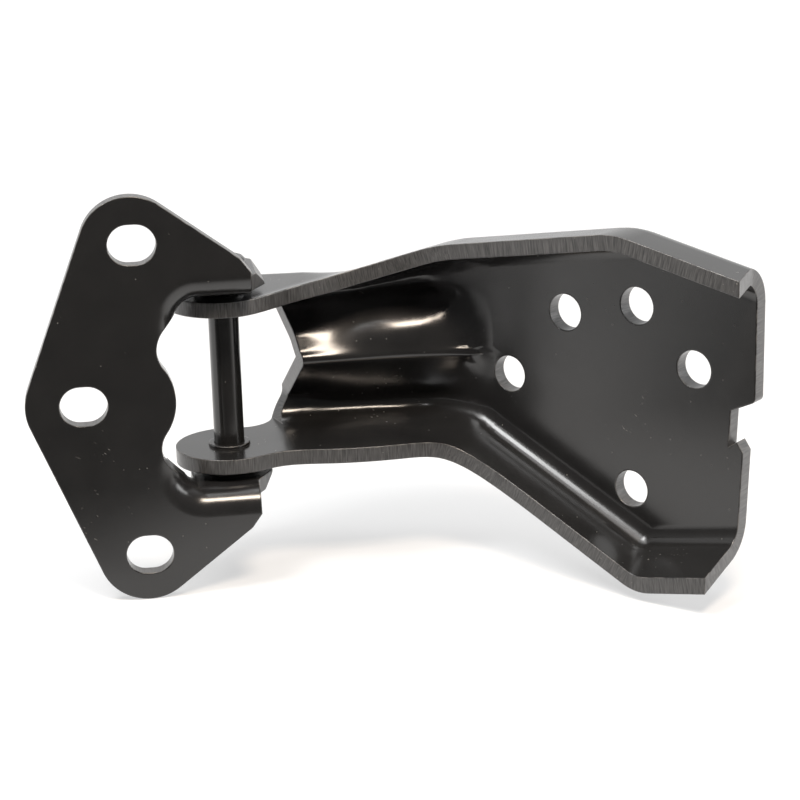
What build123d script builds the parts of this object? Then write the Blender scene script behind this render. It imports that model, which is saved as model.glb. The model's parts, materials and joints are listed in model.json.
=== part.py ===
import math
import os
from build123d import *

os.makedirs("parts", exist_ok=True)

def plan_point(turn, along, forward):
    """A plan point from a line through the pin axis: along it, and forward of it."""
    angle = math.radians(turn)
    return (
        along * math.cos(angle) + forward * math.sin(angle),
        along * math.sin(angle) - forward * math.cos(angle),
    )


# Sheet, pin and fits
sheet = 4.75
pin_diameter = 9.525
running_clearance = 0.05
press_clearance = 0.01
thrust_clearance = 0.15

# Pin axis, seen from the mounting face: X right, Y back, Z up
pin_x = 29.0
pin_y = 24.5

# Pillar leaf: plate outline, as circles that its edges are tangent to
side_lobe_x = -46.0
side_lobe_radius = 16.0
end_lobe_x = -28.0
end_lobe_z = 47.8
end_lobe_radius = 15.2
shoulder_x = 2.5
shoulder_z = 40.6
shoulder_radius = 2.5

# Pillar leaf: slots, measured from the pin axis
slot_length = 14.4
slot_width = 12.2
end_slot_x = -27.5
end_slot_z = 48.5
side_slot_x = -44.6

# Pillar leaf: ears and the relief between them
ear_gap = 60.0
ear_radius = 12.7
ear_neck = 7.4
ear_flare = 18.0
ear_bend = 3.25
relief_corner_x = -20.5
relief_corner_radius = 7.0
relief_slant = 0.52
throat_x = -22.0
throat_z = 15.5
throat_radius = 9.0
bulge_x = -17.0
root_depth = 9.0
root_radius = 5.0

# Door leaf: how far it is turned from the pillar face at rest, and its arms
rest_turn = -8.47
arm_gap = 45.2
nose_radius = 16.9
arm_back_x = 9.0
arm_back_y = 19.5
arm_root_x = 12.0
arm_root_y = 26.0

# Door leaf: plate as a straight line in plan, behind the pin axis, and the web that meets it in a valley
plate_turn = -38.7
plate_depth = 64.0
valley_along = 31.1
web_turn = 6.0
bend_inside = 7.0

# Door leaf: plate outline on its own face, along the plate and up
plate_end = 151.3
plate_low_end = 147.6
foot_end = 146.0
end_radius = 2.0
end_flare = 4.2
end_flare_depth = 3.0
end_flare_z = 30.0
rise_start = 18.0
rise_knee = 49.0
rise_knee_z = 33.6
crown = 113.0
crown_z = 44.8
crown_end_z = 37.0
slant_start = 52.0
slant_end = 112.0
slant_end_z = -50.8
foot_rise = 12.0
foot_splay = 20.0
rise_radius = 25.0
knee_radius = 60.0
crown_radius = 25.0
slant_radius = 20.0
notch_top = 0.2
notch_bottom = -15.2
notch_depth = 8.0
notch_lead = 3.8
notch_taper = 0.6
notch_radius = 1.0
tooth_top = -13.0
tooth_bottom = -16.0
tooth_lead = 2.1

# Door leaf: free edges of the flanges in plan, from the angle where each leaves its arm's nose
flange_depth = 18.0
upper_nose_end = -50.0
upper_straight = 62.0
upper_rim = [(22.0, -0.5), (40.0, 9.5), (57.0, 9.0)]
lower_nose_end = -75.0
lower_straight = 86.0
lower_rim = [(16.7, -9.8), (34.0, -8.3), (60.0, -4.0)]

# Door leaf: gusset ridge pressed into the web
ridge_height = 17.0
ridge_top_z = 19.0
ridge_bottom_z = -14.5
ridge_crest_z = 0.7
ridge_brow = 11.0
ridge_brow_z = 9.0
ridge_step = 14.0
ridge_step_z = 3.5
ridge_crest_radius = 2.5
ridge_brow_radius = 9.0
ridge_step_radius = 4.0

# Door leaf: plate holes, along the plate and up
hole_diameter = 11.6
hole_places = [(84.3, 18.1), (110.3, 23.8), (63.0, -5.0), (130.5, 7.1), (108.8, -34.7)]

# Door leaf: slanting cut along the web's free edge, between the arms
edge_turn = 25.0
edge_top = 24.3
edge_bottom = 27.0
edge_bottom_z = -15.0
edge_root = 22.5
edge_radius = 6.0

# Pin head and bushes
head_diameter = 15.2
head_height = 3.0
pin_tail = 1.5
pin_chamfer = 0.8
bush_wall = 1.6
bush_lip = 0.9
bush_flange_diameter = 18.0

# Construction: further than any edge of the leaves, room kept from a construction's end, and a tolerance
reach = 260.0
spare = 45.0
flat_match = 0.01

pin_radius = pin_diameter / 2
bush_bore = pin_radius + running_clearance
bush_outer = bush_bore + bush_wall
arm_outer_z = arm_gap / 2 + sheet
ear_inner_z = ear_gap / 2
ear_outer_z = ear_inner_z + sheet
face_plane = Plane.XZ
pin_plan = Plane(origin=(pin_x, pin_y, 0), x_dir=(1, 0, 0), z_dir=(0, 0, 1))
leaf_dir = (math.cos(math.radians(rest_turn)), math.sin(math.radians(rest_turn)), 0)
leaf_plan = Plane(origin=(pin_x, pin_y, 0), x_dir=leaf_dir, z_dir=(0, 0, 1))


def upright(x, y, turn):
    """A standing plane on the door leaf's plan, its normal towards the open side of the channel."""
    angle = math.radians(rest_turn + turn)
    return Plane(
        origin=leaf_plan.from_local_coords(Vector(x, y, 0)),
        x_dir=(math.cos(angle), math.sin(angle), 0),
        z_dir=(math.sin(angle), -math.cos(angle), 0),
    )


# Pillar leaf
def pillar_die(grow):
    """Solid behind the plate's front face, upper half, with the rounded relief below the ear."""
    left = pin_x + relief_corner_x
    slant_run = ear_inner_z * relief_slant
    with BuildPart() as die:
        with BuildSketch(face_plane.offset(-grow)):
            with Locations((0, reach / 2)):
                Rectangle(reach, reach)
        extrude(amount=-reach)
        with BuildSketch(face_plane) as relief:
            with BuildLine():
                Polyline(
                    (reach, ear_inner_z),
                    (left, ear_inner_z),
                    (left + 2 * slant_run, -ear_inner_z),
                    (reach, -ear_inner_z),
                    close=True,
                )
            make_face()
            fillet(relief.vertices().sort_by(Axis.X)[0], relief_corner_radius)
            if grow:
                offset(amount=grow, kind=Kind.INTERSECTION)
        extrude(amount=-reach, mode=Mode.SUBTRACT)
        front = die.faces().filter_by(Axis.Y).sort_by(Axis.Y)[0]
        inner = front.edges().filter_by(lambda edge: 0 < edge.center().Z < reach / 3)
        rim = inner.filter_by(lambda edge: abs(edge.center().X) < reach / 3)
        fillet(rim, ear_bend + sheet - grow)
    return die.part


with BuildPart() as pillar_leaf:
    add(pillar_die(0))
    add(pillar_die(sheet), mode=Mode.SUBTRACT)
    mirror(about=Plane.XY)
    # Plate and ears, seen from the front
    ear_corner_x = ear_radius - shoulder_radius
    with BuildSketch(face_plane):
        with BuildLine():
            CenterArc((pin_x + side_lobe_x, 0), side_lobe_radius, 0, 360)
            for side in (1, -1):
                CenterArc((pin_x + end_lobe_x, side * end_lobe_z), end_lobe_radius, 0, 360)
                CenterArc((pin_x + shoulder_x, side * shoulder_z), shoulder_radius, 0, 360)
                CenterArc((pin_x + ear_corner_x, side * ear_inner_z), shoulder_radius, 0, 360)
        make_hull()
    extrude(amount=-reach, mode=Mode.INTERSECT)
    # Ears, seen from above
    with BuildSketch(Plane.XY.offset(-reach / 2)) as plan:
        with Locations((pin_x + ear_neck, root_depth)):
            Rectangle(reach, root_depth, align=(Align.MAX, Align.MAX))
        with BuildLine():
            Polyline(
                (pin_x - ear_radius, root_depth),
                (pin_x + ear_neck, root_depth),
                (pin_x + ear_radius, ear_flare),
                (pin_x + ear_radius, pin_y),
                (pin_x - ear_radius, pin_y),
                close=True,
            )
        make_face()
        with Locations((pin_x, pin_y)):
            Circle(ear_radius)
        inside = plan.vertices().filter_by(lambda vertex: abs(vertex.Y - root_depth) < flat_match)
        fillet(inside.filter_by(lambda vertex: abs(vertex.X - pin_x) < 2 * ear_radius), root_radius)
    extrude(amount=reach, mode=Mode.INTERSECT)
    # Relief between the ears: a throat below each ear and a bulge in the middle
    throat_centre = pin_x + throat_x + throat_radius
    lift = throat_radius * math.sqrt(0.5)
    gap = throat_x + throat_radius - bulge_x
    bulge_radius = (throat_radius**2 - gap**2 - throat_z**2) / (2 * (gap - throat_radius))
    bulge_centre = pin_x + bulge_x - bulge_radius
    share = throat_radius / (throat_radius + bulge_radius)
    meet_x = throat_centre + share * (bulge_centre - throat_centre)
    meet_z = throat_z * (1 - share)
    corner_z = throat_z + lift
    corner_x = throat_centre - lift
    with BuildSketch(face_plane):
        with BuildLine():
            Polyline(
                (corner_x, corner_z),
                (corner_x + ear_inner_z - corner_z, ear_inner_z),
                (reach, ear_inner_z),
                (reach, 0),
                (pin_x + bulge_x, 0),
            )
            RadiusArc((pin_x + bulge_x, 0), (meet_x, meet_z), -bulge_radius)
            ThreePointArc((meet_x, meet_z), (pin_x + throat_x, throat_z), (corner_x, corner_z))
        make_face()
        mirror(about=Plane.XZ)
    extrude(amount=-reach, mode=Mode.SUBTRACT)
    # Slots for the pillar bolts and holes for the pin
    with BuildSketch(face_plane):
        with Locations((pin_x + side_slot_x, 0)):
            SlotOverall(slot_length, slot_width)
        for side in (1, -1):
            with Locations((pin_x + end_slot_x, side * end_slot_z)):
                SlotOverall(slot_length, slot_width)
    extrude(amount=-2 * sheet, mode=Mode.SUBTRACT)
    with BuildSketch(pin_plan.offset(-reach / 2)):
        Circle(pin_radius + press_clearance)
    extrude(amount=reach, mode=Mode.SUBTRACT)
pillar_leaf.part.label = "pillar_leaf"
export_step(pillar_leaf.part, "parts/pillar_leaf.step")


# Door leaf
plate_origin = plan_point(plate_turn, 0, -plate_depth)
plate_plane = upright(*plate_origin, plate_turn)
valley = plan_point(plate_turn, valley_along, -plate_depth)
valley_place = leaf_plan.from_local_coords(Vector(*valley, 0))
web_plane = upright(*valley, web_turn)
web_run = plan_point(web_turn, reach - spare, 0)
web_start = (valley[0] - web_run[0], valley[1] - web_run[1])
far_plate = plan_point(plate_turn, plate_end + reach / 4, -plate_depth)
beyond = plate_end + reach / 2
crown_fall = (crown_end_z - crown_z) / (plate_end - crown)
slant_fall = (slant_end_z + arm_gap / 2) / (slant_end - slant_start)
foot_run = plate_plane.x_dir.rotate(Axis((0, 0, 0), plate_plane.z_dir), foot_rise)
foot_plane = Plane(
    origin=plate_plane.from_local_coords(Vector(slant_end, slant_end_z, 0)),
    x_dir=plate_plane.z_dir,
    z_dir=-foot_run,
)
foot_fall = math.tan(math.radians(foot_splay))
ridge_plane = Plane(origin=web_plane.origin, x_dir=web_plane.z_dir, z_dir=-web_plane.x_dir)


def leaf_x(edge):
    """How far right of the pin the middle of an edge lies, on the door leaf's own plan."""
    return leaf_plan.to_local_coords(edge.center()).X


def is_along(direction, line):
    """True where a direction is within 45 degrees of a line."""
    return abs(direction.dot(line)) > math.cos(math.radians(45))


def gusset_ridge(grow):
    """The ridge that stiffens the corner of web and plate, from its front face or from its back face."""
    foot_back = -4 * sheet
    top_slope = (ridge_top_z - ridge_brow_z) / ridge_brow
    bottom_slope = (ridge_crest_z - ridge_bottom_z) / ridge_height
    with BuildPart() as ridge:
        with BuildSketch(ridge_plane) as section:
            with BuildLine():
                Polyline(
                    (foot_back, ridge_top_z - foot_back * top_slope),
                    (ridge_brow, ridge_brow_z),
                    (ridge_step, ridge_step_z),
                    (ridge_height, ridge_crest_z),
                    (foot_back, ridge_bottom_z + foot_back * bottom_slope),
                    close=True,
                )
            make_face()
            for place, radius in (
                ((ridge_brow, ridge_brow_z), ridge_brow_radius),
                ((ridge_step, ridge_step_z), ridge_step_radius),
                ((ridge_height, ridge_crest_z), ridge_crest_radius),
            ):
                fillet(section.vertices().sort_by_distance(Vector(*place, 0))[0], radius)
            if grow:
                offset(amount=-grow, kind=Kind.INTERSECTION)
        extrude(amount=reach, both=True)
    return ridge.part


def channel_space(grow):
    """The space in front of the sheet: grown by the sheet's thickness it gives the back face."""
    # Between the flanges, seen square to the plate
    with BuildPart() as between:
        with BuildSketch(plate_plane.offset(-reach)) as side:
            with BuildLine():
                Polyline(
                    (-2 * reach, arm_gap / 2),
                    (rise_start, arm_gap / 2),
                    (rise_knee, rise_knee_z),
                    (crown, crown_z),
                    (plate_end, crown_end_z),
                    (beyond, crown_end_z + crown_fall * (beyond - plate_end)),
                    (beyond, -arm_gap / 2 + slant_fall * (beyond - slant_start)),
                    (slant_start, -arm_gap / 2),
                    (-2 * reach, -arm_gap / 2),
                    close=True,
                )
            make_face()
            for place, radius in (
                ((rise_start, arm_gap / 2), rise_radius),
                ((rise_knee, rise_knee_z), knee_radius),
                ((crown, crown_z), crown_radius),
                ((slant_start, -arm_gap / 2), slant_radius),
            ):
                fillet(side.vertices().sort_by_distance(Vector(*place, 0))[0], radius)
            if grow:
                offset(amount=grow, kind=Kind.INTERSECTION)
        extrude(amount=3 * reach)
    # Above the splayed foot
    with BuildPart() as above_foot:
        with BuildSketch(foot_plane.offset(-reach)):
            with BuildLine():
                Polyline(
                    (-reach, reach * foot_fall),
                    (-reach, 3 * reach),
                    (3 * reach, 3 * reach),
                    (3 * reach, -3 * reach * foot_fall),
                    close=True,
                )
            make_face()
            if grow:
                offset(amount=grow, kind=Kind.INTERSECTION)
        extrude(amount=3 * reach)
    # In front of the web and the plate, seen from above
    with BuildPart() as space:
        with BuildSketch(leaf_plan.offset(-reach)):
            with BuildLine():
                Polyline(
                    web_start,
                    valley,
                    far_plate,
                    (far_plate[0], -reach),
                    (web_start[0], -reach),
                    close=True,
                )
            make_face()
            if grow:
                offset(amount=grow, kind=Kind.INTERSECTION)
        extrude(amount=2 * reach)
        add(between.part, mode=Mode.INTERSECT)
        add(above_foot.part, mode=Mode.INTERSECT)
        uprights = space.edges().filter_by(Axis.Z)
        fillet(uprights.sort_by_distance(valley_place)[0], bend_inside + grow)
        walls = space.faces().filter_by(GeomType.CYLINDER).sort_by_distance(valley_place)[:1]
        for face in space.faces().filter_by(GeomType.PLANE):
            facings = (-web_plane.z_dir, -plate_plane.z_dir)
            if any((face.normal_at() - facing).length < flat_match for facing in facings):
                walls.append(face)
        bends = []
        for face in walls:
            for edge in face.edges():
                level = not is_along(edge.tangent_at(0.5), Vector(0, 0, 1))
                inside = web_start[0] + sheet < leaf_x(edge) < far_plate[0] - sheet
                if level and inside and edge not in bends:
                    bends.append(edge)
        for edge in space.edges():
            at_foot = edge.center().Z < slant_end_z - grow
            forward = is_along(edge.tangent_at(0.5), plate_plane.z_dir)
            if at_foot and forward and leaf_x(edge) < far_plate[0] - spare:
                bends.append(edge)
        fillet(bends, bend_inside + grow)
        add(gusset_ridge(grow), mode=Mode.SUBTRACT)
    return space.part


def flange_plan(nose_end, rim, straight, height):
    """Everything behind a flange's free edge, from the middle of the leaf up or down."""
    rim_straight = plan_point(plate_turn, straight, flange_depth - plate_depth)
    rim_end = plan_point(plate_turn, plate_end + end_flare, flange_depth - plate_depth)
    plate_tip = plan_point(plate_turn, plate_end, end_flare_depth - plate_depth)
    back_end = plan_point(plate_turn, plate_end, -plate_depth - reach / 4)
    start = math.radians(nose_end)
    nose_start = (nose_radius * math.cos(start), nose_radius * math.sin(start))
    with BuildPart() as behind:
        with BuildSketch(leaf_plan):
            with BuildLine():
                Spline(
                    nose_start,
                    *rim,
                    rim_straight,
                    tangents=((-math.sin(start), math.cos(start)), plan_point(plate_turn, 1, 0)),
                )
                Polyline(
                    rim_straight,
                    rim_end,
                    plate_tip,
                    back_end,
                    (arm_root_x, reach / 2),
                    (arm_root_x, arm_root_y),
                )
                ThreePointArc((arm_root_x, arm_root_y), (arm_back_x, arm_back_y), (0, nose_radius))
                ThreePointArc((0, nose_radius), (-nose_radius, 0), nose_start)
            make_face()
        extrude(amount=height)
    return behind.part


# Free edges of the two flanges, with the arms' noses round the pin
with BuildPart() as trims:
    add(flange_plan(upper_nose_end, upper_rim, upper_straight, reach / 2))
    add(flange_plan(lower_nose_end, lower_rim, lower_straight, -reach / 2))

with BuildPart() as door_leaf:
    add(channel_space(sheet))
    add(channel_space(0), mode=Mode.SUBTRACT)
    add(trims.part, mode=Mode.INTERSECT)
    # End of the plate, with its notch
    with BuildSketch(plate_plane.offset(-reach)) as end:
        with BuildLine():
            Polyline(
                (-2 * reach, reach),
                (plate_end + end_flare, reach),
                (plate_end + end_flare, end_flare_z),
                (plate_end, end_flare_z),
                (plate_end, notch_top),
                (plate_end - notch_depth, notch_top - notch_lead),
                (plate_end - notch_depth - notch_taper, notch_bottom),
                (plate_low_end - tooth_lead, tooth_top),
                (plate_low_end, tooth_bottom),
                (foot_end, slant_end_z),
                (foot_end, -reach),
                (-2 * reach, -reach),
                close=True,
            )
        make_face()
        corners = end.vertices().filter_by(lambda vertex: abs(vertex.Y) < reach / 2).sort_by(Axis.Y)
        fillet([corners[0], corners[5]], end_radius)
        fillet(corners[1:5], notch_radius)
    extrude(amount=3 * reach, mode=Mode.INTERSECT)
    # Slanting cut along the web's free edge, between the arms
    with BuildSketch(upright(0, 0, edge_turn)) as edge_cut:
        with BuildLine():
            Polyline(
                (-reach, arm_gap / 2),
                (edge_top, arm_gap / 2),
                (edge_bottom, edge_bottom_z),
                (edge_root, -arm_gap / 2),
                (-reach, -arm_gap / 2),
                close=True,
            )
        make_face()
        fillet(edge_cut.vertices().sort_by(Axis.X)[-1], edge_radius)
    extrude(amount=reach, both=True, mode=Mode.SUBTRACT)
    # Holes for the door bolts and for the bushes
    with BuildSketch(plate_plane):
        with Locations(*hole_places):
            Circle(hole_diameter / 2)
    extrude(amount=-3 * sheet, mode=Mode.SUBTRACT)
    with BuildSketch(pin_plan.offset(-arm_outer_z)):
        Circle(bush_outer + press_clearance)
    extrude(amount=2 * arm_outer_z, mode=Mode.SUBTRACT)
door_leaf.part.label = "door_leaf"
export_step(door_leaf.part, "parts/door_leaf.step")


# Hinge pin: pressed into the ears, with a flat head on the upper one
with BuildPart() as hinge_pin:
    with BuildSketch(pin_plan.offset(-ear_outer_z - pin_tail)):
        Circle(pin_radius)
    extrude(amount=2 * ear_outer_z + pin_tail)
    with BuildSketch(pin_plan.offset(ear_outer_z)):
        Circle(head_diameter / 2)
    extrude(amount=head_height)
    chamfer(hinge_pin.faces().sort_by(Axis.Z)[-1].edges(), pin_chamfer)
hinge_pin.part.label = "hinge_pin"
export_step(hinge_pin.part, "parts/hinge_pin.step")


# Bushes: pressed into the arms, with a thrust flange outside and a lip inside
for name, side in (("upper_bush", 1), ("lower_bush", -1)):
    with BuildPart() as bush:
        with BuildSketch(pin_plan.offset(side * (arm_gap / 2 - bush_lip))):
            Circle(bush_outer)
        extrude(amount=side * (bush_lip + sheet))
        with BuildSketch(pin_plan.offset(side * arm_outer_z)):
            Circle(bush_flange_diameter / 2)
        extrude(amount=side * (ear_inner_z - arm_outer_z - thrust_clearance))
        with BuildSketch(pin_plan.offset(-reach / 2)):
            Circle(bush_bore)
        extrude(amount=reach, mode=Mode.SUBTRACT)
    bush.part.label = name
    export_step(bush.part, f"parts/{name}.step")
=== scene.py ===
# %% [markdown]
# # A car door hinge in black coated steel
# The hinge has two leaves of thick sheet steel, a pin, and two bushes.
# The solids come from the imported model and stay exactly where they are.
# Blender's share is the coat, the sheared edges,
# the soft form of the pressed ridge, the light and the camera.

# %% Load the solids
import json
import math

import bmesh
import bpy
from mathutils import Matrix, Vector
from mathutils.bvhtree import BVHTree


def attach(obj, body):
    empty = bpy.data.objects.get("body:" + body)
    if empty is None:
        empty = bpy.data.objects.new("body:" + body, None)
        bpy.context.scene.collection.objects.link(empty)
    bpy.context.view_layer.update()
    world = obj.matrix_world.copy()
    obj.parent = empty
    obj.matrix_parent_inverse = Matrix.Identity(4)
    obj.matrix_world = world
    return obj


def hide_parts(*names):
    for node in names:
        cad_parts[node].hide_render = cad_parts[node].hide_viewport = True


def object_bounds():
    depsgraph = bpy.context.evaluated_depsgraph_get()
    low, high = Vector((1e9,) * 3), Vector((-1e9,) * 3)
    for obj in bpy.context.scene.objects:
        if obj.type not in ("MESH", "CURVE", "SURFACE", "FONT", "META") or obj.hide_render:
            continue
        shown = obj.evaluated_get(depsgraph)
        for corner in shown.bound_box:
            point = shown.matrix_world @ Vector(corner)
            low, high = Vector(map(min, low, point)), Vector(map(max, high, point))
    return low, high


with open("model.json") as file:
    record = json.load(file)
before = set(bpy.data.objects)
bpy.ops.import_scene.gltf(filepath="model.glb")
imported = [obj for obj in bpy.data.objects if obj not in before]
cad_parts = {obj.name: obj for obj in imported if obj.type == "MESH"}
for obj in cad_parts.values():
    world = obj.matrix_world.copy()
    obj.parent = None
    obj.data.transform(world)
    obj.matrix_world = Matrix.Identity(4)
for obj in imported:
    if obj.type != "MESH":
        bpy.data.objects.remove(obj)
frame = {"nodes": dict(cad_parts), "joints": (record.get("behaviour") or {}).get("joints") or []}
scene = bpy.context.scene
scene.view_settings.view_transform = "Standard"
cad_low, cad_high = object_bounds()

# %% [markdown]
# ## Camera
# The photograph was taken from a little above, with a long lens.
# The pin is upright in the picture but for a small roll.
# The camera is therefore written from the pin: its place, how far it looks down, and its roll.
# A camera matrix made of three axes is exact, where a Track To constraint would lose the roll.

# %% Camera from the pin axis
swing = frame["joints"][0]
pin_foot = Vector(swing["pos_m"])
photo_turn = math.radians(-8.47)
look_down = math.radians(16.897)
roll = math.radians(1.467)
photo_side = 800
focal_pixels = 2200
camera_from_pin = Vector((0.05410, -0.66047, 0.19093))

turned = Matrix.Rotation(photo_turn, 3, "Z")
away = turned @ Vector((0, math.cos(look_down), -math.sin(look_down)))
right_flat = turned @ Vector((1, 0, 0))
down_flat = away.cross(right_flat)
right = math.cos(roll) * right_flat + math.sin(roll) * down_flat
down = math.cos(roll) * down_flat - math.sin(roll) * right_flat

camera_data = bpy.data.cameras.new("photo_camera")
camera_data.sensor_width = 36
camera_data.lens = focal_pixels / photo_side * camera_data.sensor_width
camera_data.clip_end = 50
camera = bpy.data.objects.new("photo_camera", camera_data)
scene.collection.objects.link(camera)
axes = Matrix((right, -down, -away)).transposed()
place = pin_foot + turned @ camera_from_pin
camera.matrix_world = Matrix.Translation(place) @ axes.to_4x4()
scene.camera = camera
print("camera at", [round(v, 4) for v in place], "lens", camera_data.lens)


# %% [markdown]
# ## Node helpers
# A material is a small graph of nodes.
# Two short helpers keep each graph readable: one adds a node with its values, one links two sockets.


# %% Node helpers
def add_node(tree, kind, **values):
    node = tree.nodes.new(kind)
    for key, value in values.items():
        if hasattr(node, key):
            setattr(node, key, value)
        else:
            node.inputs[key.replace("_", " ")].default_value = value
    return node


def wire(tree, source, target):
    tree.links.new(source, target)


# %% [markdown]
# ## Floor
# The hinge stands on a large flat sheet of white paper.
# The floor is part matt paint, which takes the shadow.
# The other part is its own white, which keeps the picture bright.
# The camera sees that white everywhere.
# Gloss sees it behind the hinge, beside it and close around its foot, but hardly in front.
# There the paper ends, and the dark room behind the photographer begins.


# %% Helpers for values in a graph
def calculate(tree, operation, first, second):
    node = add_node(tree, "ShaderNodeMath", operation=operation)
    for socket, value in zip(node.inputs, (first, second)):
        if isinstance(value, (int, float)):
            socket.default_value = value
        else:
            wire(tree, value, socket)
    return node.outputs[0]


def remap(tree, value, low, high, to_low=0.0, to_high=1.0, smooth=False):
    node = add_node(tree, "ShaderNodeMapRange", clamp=True)
    node.interpolation_type = "SMOOTHSTEP" if smooth else "LINEAR"
    for key, number in (("From Min", low), ("From Max", high), ("To Min", to_low), ("To Max", to_high)):
        node.inputs[key].default_value = number
    wire(tree, value, node.inputs["Value"])
    return node.outputs["Result"]


def measure(tree, vector, operation, reference):
    node = add_node(tree, "ShaderNodeVectorMath", operation=operation)
    wire(tree, vector, node.inputs[0])
    node.inputs[1].default_value = reference
    return node.outputs["Value"]


def blend_colour(tree, factor, first, second):
    node = add_node(tree, "ShaderNodeMix", data_type="RGBA")
    wire(tree, factor, node.inputs["Factor"])
    for socket, value in zip((node.inputs[6], node.inputs[7]), (first, second)):
        if isinstance(value, tuple):
            socket.default_value = value
        else:
            wire(tree, value, socket)
    return node.outputs[2]


# %% White floor
floor_gap = 0.0002
floor_z = cad_low.z - floor_gap
floor_half = 8.0
paper_grey = (0.36, 0.36, 0.36, 1)
# Where the white changes, as the cosine towards the back or as metres from the foot, and its lowest share
beside_span, front_share = (-0.85, -0.25), 0.08
near_span = (0.06, 0.14)
camera_span, camera_share = (0.2, 1.2), 0.55
foot = (cad_low + cad_high) / 2
foot.z = 0
backwards = turned @ Vector((0, 1, 0))

floor_paint = bpy.data.materials.new("floor_paint")
floor_paint.use_nodes = True
tree = floor_paint.node_tree
tree.nodes.clear()
spot = add_node(tree, "ShaderNodeTexCoord").outputs["Object"]
away_from_foot = measure(tree, spot, "DISTANCE", foot)
from_foot = add_node(tree, "ShaderNodeVectorMath", operation="SUBTRACT")
wire(tree, spot, from_foot.inputs[0])
from_foot.inputs[1].default_value = foot
way_out = add_node(tree, "ShaderNodeVectorMath", operation="NORMALIZE")
wire(tree, from_foot.outputs["Vector"], way_out.inputs[0])
around = measure(tree, way_out.outputs["Vector"], "DOT_PRODUCT", backwards)
beside = remap(tree, around, *beside_span, front_share, 1.0, smooth=True)
near = remap(tree, away_from_foot, *near_span, 1.0, 0.0, smooth=True)
gloss_white = calculate(tree, "MAXIMUM", beside, near)
camera_white = remap(tree, away_from_foot, *camera_span, camera_share, 1.0, smooth=True)
path = add_node(tree, "ShaderNodeLightPath")
in_gloss = calculate(tree, "MAXIMUM", path.outputs["Is Glossy Ray"], path.outputs["Is Transmission Ray"])
seen = calculate(tree, "MULTIPLY", path.outputs["Is Camera Ray"], camera_white)
mirrored = calculate(tree, "MULTIPLY", in_gloss, gloss_white)
paper = calculate(tree, "ADD", calculate(tree, "SUBTRACT", 1.0, in_gloss), mirrored)
paper_tone = blend_colour(tree, paper, (0, 0, 0, 1), paper_grey)
matt = add_node(tree, "ShaderNodeBsdfDiffuse")
wire(tree, paper_tone, matt.inputs["Color"])
white = add_node(tree, "ShaderNodeEmission", Color=(1, 1, 1, 1))
wire(tree, calculate(tree, "ADD", seen, mirrored), white.inputs["Strength"])
both = add_node(tree, "ShaderNodeAddShader")
wire(tree, matt.outputs[0], both.inputs[0])
wire(tree, white.outputs[0], both.inputs[1])
out = add_node(tree, "ShaderNodeOutputMaterial")
wire(tree, both.outputs[0], out.inputs["Surface"])

floor_mesh = bpy.data.meshes.new("floor")
corners = [(x * floor_half, y * floor_half, 0) for x, y in ((-1, -1), (1, -1), (1, 1), (-1, 1))]
floor_mesh.from_pydata(corners, [], [(0, 1, 2, 3)])
floor = bpy.data.objects.new("floor", floor_mesh)
floor.location.z = floor_z
floor_mesh.materials.append(floor_paint)
scene.collection.objects.link(floor)
print("floor at", round(floor_z, 4))

# %% [markdown]
# ## Studio light
# The photograph's studio has a white wall behind the hinge and a large soft box overhead.
# A small warm lamp and a small white box, both high in front, draw the highlights on the ridge and the bends.
# A soft box on the right lights the cut end of the plate, and a weak one on the left fills the shadows.
# The side where the photographer stands is dark, and that is why the flat plates look nearly black.
# The world is therefore white behind the hinge and dark in front of it.
# To the camera it is white all round.

# %% World
wall_span, front_wall = (-0.3, 0.4), 0.15
fill = 0.35

world = bpy.data.worlds.new("studio")
scene.world = world
world.use_nodes = True
tree = world.node_tree
tree.nodes.clear()
heading = add_node(tree, "ShaderNodeTexCoord").outputs["Generated"]
towards_back = measure(tree, heading, "DOT_PRODUCT", backwards)
wall = remap(tree, towards_back, *wall_span, front_wall, 1.0, smooth=True)
path = add_node(tree, "ShaderNodeLightPath")
in_gloss = calculate(tree, "MAXIMUM", path.outputs["Is Glossy Ray"], path.outputs["Is Transmission Ray"])
room = calculate(tree, "ADD", calculate(tree, "MULTIPLY", in_gloss, 1.0 - fill), fill)
level = calculate(tree, "MULTIPLY", wall, room)
level = calculate(tree, "MAXIMUM", level, path.outputs["Is Camera Ray"])
backdrop = add_node(tree, "ShaderNodeBackground", Color=(1, 1, 1, 1))
wire(tree, level, backdrop.inputs["Strength"])
out = add_node(tree, "ShaderNodeOutputWorld")
wire(tree, backdrop.outputs[0], out.inputs["Surface"])
print("world: wall 1.0 behind,", front_wall, "in front, fill", fill)


# %% Lamps
white_light = (1.0, 1.0, 1.0)
warm_light = (1.0, 0.86, 0.72)


def soft_lamp(name, direction, distance, size, watts, colour=white_light):
    """A rectangular lamp that looks at the middle of the hinge, from a direction seen from the photo's side."""
    data = bpy.data.lights.new(name, "AREA")
    data.shape = "RECTANGLE"
    data.size, data.size_y = size
    data.energy = watts
    data.color = colour
    lamp = bpy.data.objects.new(name, data)
    scene.collection.objects.link(lamp)
    heading = (turned @ Vector(direction)).normalized()
    lamp.location = hinge_middle + distance * heading
    lamp.rotation_euler = heading.to_track_quat("Z", "Y").to_euler()
    print(name, [round(v, 3) for v in lamp.location], watts, "W")


hinge_middle = (cad_low + cad_high) / 2
soft_lamp("overhead_box", (-0.2, 0.05, 0.95), 0.9, (0.9, 0.6), 6.0)
soft_lamp("warm_lamp", (0.15, -0.52, 0.84), 0.9, (0.24, 0.2), 8.0, warm_light)
soft_lamp("left_box", (-0.37, -0.37, 0.86), 0.9, (0.24, 0.3), 5.0)
soft_lamp("right_box", (0.9, -0.1, 0.3), 1.0, (0.5, 0.5), 7.0)
soft_lamp("left_fill", (-0.9, 0.25, 0.35), 1.0, (0.4, 0.6), 1.0)

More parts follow.
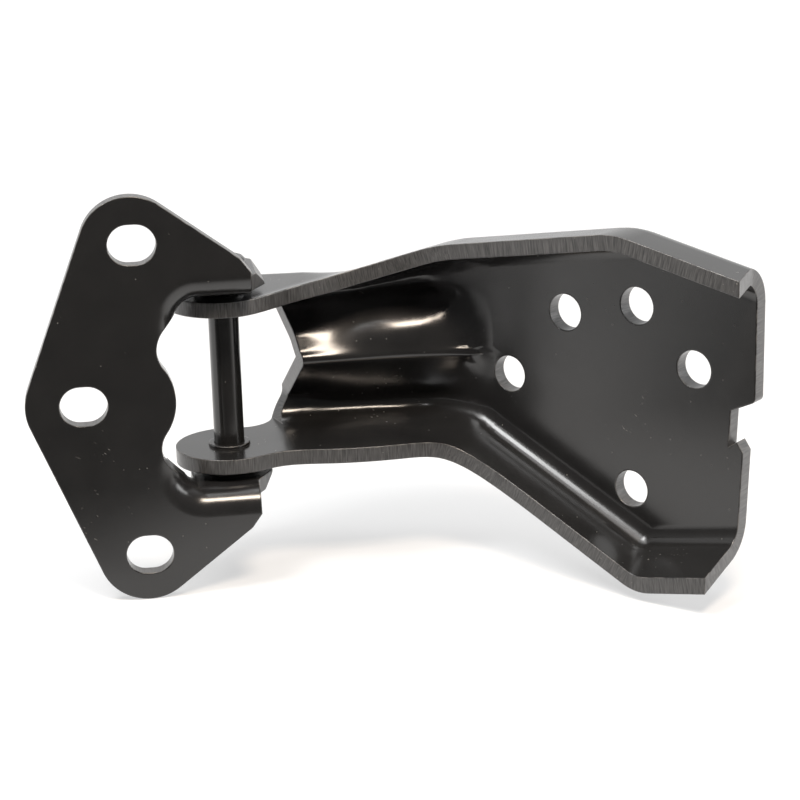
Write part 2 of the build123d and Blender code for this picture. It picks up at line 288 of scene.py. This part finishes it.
# %% [markdown]
# ## Leaves with sheared edges
# Each leaf is blanked from plate in a press, then bent, then coated.
# The press leaves fine lines across the sheared edges.
# The coat on them looks greyer than on the faces.
# The shader has to know which faces were sheared, and the solid doesn't say.
# A short probe tells.
# Just under a sheared face, one direction crosses the sheet squarely in one thickness.
# Under a flat face every direction runs on, and under a bend the probe meets the skin aslant.
# Faces that run smoothly into each other then vote by area, so that no odd triangle is left out.
# The result is stored on a copy of the mesh, and the solid itself stays as it is.

# %% Find the sheared faces
sheet_thickness = 0.00475
probe_depth = 0.0012
probe_steps = 16
skin_gap = 2e-5
deep_limit = 1.25 * sheet_thickness
cross_limit = 1.35 * sheet_thickness
square_limit = 0.85
smooth_limit = 0.92


def through_sheet(solid, polygon):
    """The direction through the sheet under a sheared face, or None under any other face."""
    inward = -polygon.normal
    deep = solid.ray_cast(polygon.center + inward * skin_gap, inward, deep_limit)
    if deep[0] is not None:
        return None
    start = polygon.center + inward * probe_depth
    best = None
    shortest = cross_limit
    for step in range(probe_steps):
        turn = Matrix.Rotation(math.pi * step / probe_steps, 3, polygon.normal)
        way = turn @ polygon.normal.orthogonal().normalized()
        ahead = solid.ray_cast(start, way, shortest)
        behind = solid.ray_cast(start, -way, shortest)
        if ahead[0] is None or behind[0] is None:
            continue
        square = min(abs(ahead[1].dot(way)), abs(behind[1].dot(way)))
        if square > square_limit and ahead[3] + behind[3] < shortest:
            shortest = ahead[3] + behind[3]
            best = way
    return best


def smooth_groups(mesh, points):
    """Faces joined edge to edge with hardly a turn between them; edges match by place."""
    at_edge = {}
    for polygon in mesh.polygons:
        places = [tuple(round(v, 6) for v in points[index]) for index in polygon.vertices]
        for first, second in zip(places, places[1:] + places[:1]):
            at_edge.setdefault(frozenset((first, second)), []).append(polygon.index)
    beside = {polygon.index: [] for polygon in mesh.polygons}
    for sharing in at_edge.values():
        for one in sharing:
            for other in sharing:
                turn = mesh.polygons[one].normal.dot(mesh.polygons[other].normal)
                if one != other and turn > smooth_limit:
                    beside[one].append(other)
    left = set(beside)
    groups = []
    while left:
        group = [left.pop()]
        for index in group:
            fresh = [other for other in beside[index] if other in left]
            left.difference_update(fresh)
            group.extend(fresh)
        groups.append(group)
    return groups


def map_sheared_edges(mesh):
    """Stores a mark on each sheared face, and the run along and across the sheet at its corners."""
    points = [vertex.co.copy() for vertex in mesh.vertices]
    solid = BVHTree.FromPolygons(points, [tuple(polygon.vertices) for polygon in mesh.polygons])
    through = [through_sheet(solid, polygon) for polygon in mesh.polygons]
    edge_mark = mesh.attributes.new("sheared", "FLOAT", "FACE")
    edge_run = mesh.attributes.new("shear_run", "FLOAT_VECTOR", "CORNER")
    count = 0
    for group in smooth_groups(mesh, points):
        found = [index for index in group if through[index] is not None]
        found_area = sum(mesh.polygons[index].area for index in found)
        if not found or 2 * found_area < sum(mesh.polygons[index].area for index in group):
            continue
        count += len(group)
        for index in group:
            polygon = mesh.polygons[index]
            nearest = min(found, key=lambda other: (mesh.polygons[other].center - polygon.center).length)
            across = through[nearest]
            along = polygon.normal.cross(across).normalized()
            edge_mark.data[index].value = 1.0
            for corner in polygon.loop_indices:
                co = points[mesh.loops[corner].vertex_index]
                edge_run.data[corner].vector = (co.dot(along), co.dot(across), 0)
    return count, len(mesh.polygons)


# %% Coated copies of the two leaves
leaves = {}
for node, body, slot in (("pillar_leaf", "pillar", "pillar_paint"), ("door_leaf", "door", "door_paint")):
    mesh = frame["nodes"][node].data.copy()
    mesh.name = node + "_coated"
    leaf = bpy.data.objects.new(node + "_coated", mesh)
    scene.collection.objects.link(leaf)
    sheared, total = map_sheared_edges(mesh)
    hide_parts(node)
    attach(leaf, body)
    leaves[node] = leaf
    print(node, "sheared faces", sheared, "of", total)

# %% [markdown]
# ## Soft form of the gusset
# The press draws the gusset ridge as a soft dome, while the solid's ridge is straight with clear folds.
# A subdivision modifier would soften the whole leaf, holes and edges too.
# So only the ridge of the copy is treated, and where it meets the plate, the upper flange and the lower arm.
# Cutting planes first lay a fine net there, then each inner point moves towards the middle of its neighbours.
# The sheared edges stay where they are, and the softening fades out before the plate's first hole.
# A low crown on the ridge is added last, on both skins alike, so the sheet nearly keeps its thickness.

# %% Lay a net over the ridge
mm = 0.001
soft_run = (24 * mm, 84.4 * mm)
soft_rise = (-26.6 * mm, 30 * mm)
cut_slack = 0.01 * mm
join_distance = 1e-6
lying_limit = 0.7
flat_angle = math.radians(0.5)
sheared_mark = 0.5
# Axis across the cuts (0 along the leaf, 1 to the back, 2 up), first cut, step and number of cuts
net_lines = (
    (0, 26.5 * mm, 2.5 * mm, 23),
    (1, -40 * mm, 2.5 * mm, 30),
    (2, -25 * mm, 1.8 * mm, 30),
)


def leaf_place(point):
    return turned.transposed() @ (point - pin_foot)


def cut_across(net, faces, axis, place):
    """Cuts the faces along a plane that stands across one axis of the leaf."""
    across = Vector((0, 0, 0))
    across[axis] = 1
    # Keys of a dictionary keep their order, so each run cuts in the same order
    edges = dict.fromkeys(edge for face in faces for edge in face.edges)
    points = dict.fromkeys(vertex for face in faces for vertex in face.verts)
    bmesh.ops.bisect_plane(
        net,
        geom=[*faces, *edges, *points],
        dist=join_distance,
        plane_co=pin_foot + turned @ (across * place),
        plane_no=turned @ across,
    )


def in_soft_zone(face):
    places = [leaf_place(vertex.co) for vertex in face.verts]
    return all(
        low - cut_slack < place[axis] < high + cut_slack
        for axis, (low, high) in ((0, soft_run), (2, soft_rise))
        for place in places
    )


def lay_net(net):
    """Marks the faces to soften, joins their flat triangles and cuts them into a fine net."""
    bmesh.ops.remove_doubles(net, verts=net.verts, dist=join_distance)
    for axis, limits in ((0, soft_run), (2, soft_rise)):
        for place in limits:
            cut_across(net, net.faces[:], axis, place)
    sheared = net.faces.layers.float["sheared"]
    ridge = net.faces.layers.int.new("ridge")
    for face in net.faces:
        face[ridge] = int(face[sheared] < sheared_mark and in_soft_zone(face))
    inner = [edge for edge in net.edges if all(face[ridge] for face in edge.link_faces)]
    bmesh.ops.dissolve_limit(net, angle_limit=flat_angle, edges=inner, verts=[])
    for axis, start, step, cuts in net_lines:
        for cut in range(cuts):
            faces = [face for face in net.faces if face[ridge]]
            if axis:
                lying = axis == 1
                faces = [face for face in faces if (abs(face.normal.z) > lying_limit) == lying]
            cut_across(net, faces, axis, start + cut * step)
    return ridge


# %% Relax and crown the ridge
relax_rounds = 160
relax_step = 0.5
hold_start = (24 * mm, 30 * mm)
hold_end = (84.4 * mm, 71 * mm)
crown_height = 4.0 * mm
crown_middle = (55 * mm, 11 * mm)
crown_reach = (25 * mm, 11 * mm)


def ramp(value, low, high):
    share = min(max((value - low) / (high - low), 0), 1)
    return share * share * (3 - 2 * share)


def crown(place):
    height = crown_height
    for value, middle, reach in zip((place.x, place.z), crown_middle, crown_reach):
        share = min(abs(value - middle) / reach, 1)
        height *= (1 - share * share) ** 2
    return height


def draw_dome(mesh):
    """Softens the ridge of the leaf; returns the points moved and the faces of the whole leaf."""
    net = bmesh.new()
    net.from_mesh(mesh)
    ridge = lay_net(net)
    used = [vertex for vertex in net.verts if vertex.link_faces]
    free = [vertex for vertex in used if all(face[ridge] for face in vertex.link_faces)]
    hold = {}
    for vertex in free:
        run = leaf_place(vertex.co).x
        hold[vertex] = ramp(run, *hold_start) * ramp(run, *hold_end)
    for _ in range(relax_rounds):
        middle = {}
        for vertex in free:
            around = [edge.other_vert(vertex).co for edge in vertex.link_edges]
            middle[vertex] = sum(around, Vector()) / len(around)
        for vertex in free:
            vertex.co = vertex.co.lerp(middle[vertex], relax_step * hold[vertex])
    for vertex in free:
        vertex.co -= backwards * crown(leaf_place(vertex.co)) * hold[vertex]
    bmesh.ops.triangulate(net, faces=[face for face in net.faces if face[ridge]])
    count = len(net.faces)
    net.to_mesh(mesh)
    net.free()
    return len(free), count


# %% Smooth shading with clear edges
edge_turn = math.cos(math.radians(30))


def soft_normals(mesh):
    """Each corner takes the mean of the faces round it that turn less than the limit, weighed by area."""
    round_point = [[] for _ in mesh.vertices]
    for polygon in mesh.polygons:
        for index in polygon.vertices:
            round_point[index].append((polygon.normal.copy(), polygon.area))
    normals = []
    for polygon in mesh.polygons:
        for index in polygon.vertices:
            faces = round_point[index]
            facing = [normal * area for normal, area in faces if normal.dot(polygon.normal) > edge_turn]
            normals.append(sum(facing, Vector()).normalized() if facing else polygon.normal.copy())
    mesh.polygons.foreach_set("use_smooth", [True] * len(mesh.polygons))
    mesh.normals_split_custom_set(normals)


print("ridge points relaxed and faces", draw_dome(leaves["door_leaf"].data))
soft_normals(leaves["door_leaf"].data)

# %% [markdown]
# ## Black coat
# The coat is a thin electrophoretic dip paint: black, semi-gloss, and a little uneven.
# Four things keep it from looking like plain plastic.
# Its gloss wanders over a few millimetres, and its skin has a faint orange peel.
# It is thin on sharp edges, where grey shows through, and that light grey on the edges is also a painted
# highlight along them.
# Dust specks and a few fine scratches lie on it.
# The rounding of the edges is in the shader's Bevel node, which needs no extra faces.


# %% Parts of the coat
def stretched(tree, source, scale):
    scaled = add_node(tree, "ShaderNodeMapping")
    scaled.inputs["Scale"].default_value = scale
    wire(tree, source, scaled.inputs["Vector"])
    return scaled.outputs["Vector"]


def noise(tree, vector, scale, detail=2.0):
    node = add_node(tree, "ShaderNodeTexNoise", Scale=scale, Detail=detail)
    wire(tree, vector, node.inputs["Vector"])
    return node.outputs["Fac"]


def dust_specks(tree, vector):
    cells = add_node(tree, "ShaderNodeTexVoronoi", Scale=420.0)
    wire(tree, vector, cells.inputs["Vector"])
    near = remap(tree, cells.outputs["Distance"], 0.05, 0.09, 1.0, 0.0)
    parts = add_node(tree, "ShaderNodeSeparateColor")
    wire(tree, cells.outputs["Color"], parts.inputs["Color"])
    rare = calculate(tree, "GREATER_THAN", parts.outputs[0], 0.86)
    return calculate(tree, "MULTIPLY", near, rare)


def fine_scratches(tree, vector):
    aslant = add_node(tree, "ShaderNodeVectorRotate", rotation_type="EULER_XYZ")
    aslant.inputs["Rotation"].default_value = (0.5, 0.9, 0.3)
    wire(tree, vector, aslant.inputs["Vector"])
    run = stretched(tree, aslant.outputs["Vector"], (1800.0, 1800.0, 90.0))
    lines = remap(tree, noise(tree, run, 1.0, 0.0), 0.80, 0.84)
    patches = remap(tree, noise(tree, vector, 45.0, 1.0), 0.62, 0.7)
    return calculate(tree, "MULTIPLY", lines, patches)


# %% Coat material
edge_round = 0.0007
coat_dark, coat_light = (0.009, 0.009, 0.0092, 1), (0.016, 0.0158, 0.0157, 1)
sheared_dark, sheared_light = (0.018, 0.018, 0.0185, 1), (0.085, 0.084, 0.084, 1)
# Light grey of the edges: worn coat, and also a painted highlight along the sharp edges
wear_and_highlight_grey = (0.16, 0.155, 0.15, 1)
dust_grey = (0.24, 0.235, 0.22, 1)


def black_coat(name, gloss, has_sheared):
    material = bpy.data.materials.new(name)
    material.use_nodes = True
    tree = material.node_tree
    tree.nodes.clear()
    place = add_node(tree, "ShaderNodeTexCoord").outputs["Object"]
    mottle = noise(tree, place, 90.0, 3.0)
    peel = noise(tree, place, 1100.0, 1.0)
    rounded = add_node(tree, "ShaderNodeBevel", samples=8)
    rounded.inputs["Radius"].default_value = edge_round
    facing = add_node(tree, "ShaderNodeNewGeometry")
    agree = add_node(tree, "ShaderNodeVectorMath", operation="DOT_PRODUCT")
    wire(tree, rounded.outputs["Normal"], agree.inputs[0])
    wire(tree, facing.outputs["Normal"], agree.inputs[1])
    # Edges, where the rounded normal leaves the face: worn coat and a painted edge highlight
    edge_wear_and_highlight = remap(tree, agree.outputs["Value"], 0.97, 0.86)
    patchy = remap(tree, noise(tree, place, 260.0, 3.0), 0.4, 0.62)
    edge_wear_and_highlight = calculate(tree, "MULTIPLY", edge_wear_and_highlight, patchy)
    marks = calculate(tree, "MAXIMUM", dust_specks(tree, place), fine_scratches(tree, place))

    colour = blend_colour(tree, mottle, coat_dark, coat_light)
    rough = remap(tree, mottle, 0.3, 0.7, gloss - 0.02, gloss + 0.03)
    height = calculate(tree, "MULTIPLY", peel, 0.5)
    if has_sheared:
        sheared = add_node(tree, "ShaderNodeAttribute", attribute_name="sheared").outputs["Fac"]
        run = add_node(tree, "ShaderNodeAttribute", attribute_name="shear_run").outputs["Vector"]
        lines = noise(tree, stretched(tree, run, (2200.0, 160.0, 1.0)), 1.0, 2.0)
        lines = remap(tree, lines, 0.3, 0.7)
        grey = blend_colour(tree, lines, sheared_dark, sheared_light)
        colour = blend_colour(tree, sheared, colour, grey)
        rough = calculate(tree, "ADD", rough, calculate(tree, "MULTIPLY", sheared, 0.12))
        ribs = calculate(tree, "MULTIPLY", calculate(tree, "MULTIPLY", lines, sheared), 3.0)
        height = calculate(tree, "ADD", height, ribs)
    # The edges turn light grey: worn coat, and a painted highlight along them
    colour = blend_colour(tree, edge_wear_and_highlight, colour, wear_and_highlight_grey)
    colour = blend_colour(tree, calculate(tree, "MULTIPLY", marks, 0.6), colour, dust_grey)
    rough = calculate(tree, "ADD", rough, calculate(tree, "MULTIPLY", marks, 0.2))

    bump = add_node(tree, "ShaderNodeBump", Strength=0.25, Distance=0.00003)
    wire(tree, height, bump.inputs["Height"])
    wire(tree, rounded.outputs["Normal"], bump.inputs["Normal"])
    shader = add_node(tree, "ShaderNodeBsdfPrincipled")
    wire(tree, colour, shader.inputs["Base Color"])
    wire(tree, rough, shader.inputs["Roughness"])
    wire(tree, bump.outputs["Normal"], shader.inputs["Normal"])
    out = add_node(tree, "ShaderNodeOutputMaterial")
    wire(tree, shader.outputs[0], out.inputs["Surface"])
    return material


leaf_coat = black_coat("leaf_coat", 0.2, True)
for leaf in leaves.values():
    leaf.data.materials.clear()
    leaf.data.materials.append(leaf_coat)
print("leaf coat nodes", len(leaf_coat.node_tree.nodes))

# %% [markdown]
# ## Pin and bushes
# The pin is turned steel and takes the coat smoothly, so it is glossier than the leaves.
# The bushes are pressed, and their coat is a little duller than that of the leaves.
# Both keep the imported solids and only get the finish.

# %% Finish of the pin and the bushes
pin_coat = black_coat("pin_coat", 0.17, False)
bush_coat = black_coat("bush_coat", 0.24, False)
for node, coat in (("hinge_pin", pin_coat), ("upper_bush", bush_coat), ("lower_bush", bush_coat)):
    for piece_slot in frame["nodes"][node].material_slots:
        piece_slot.material = coat
    print(node, [s.material.name for s in frame["nodes"][node].material_slots])

# %% [markdown]
# ## Size of the solids
# The dressed hinge must keep the size of the solids.
# The box of the solids is therefore printed.

# %% Size of the solids
print("cad box", [round(v, 4) for v in cad_high - cad_low])
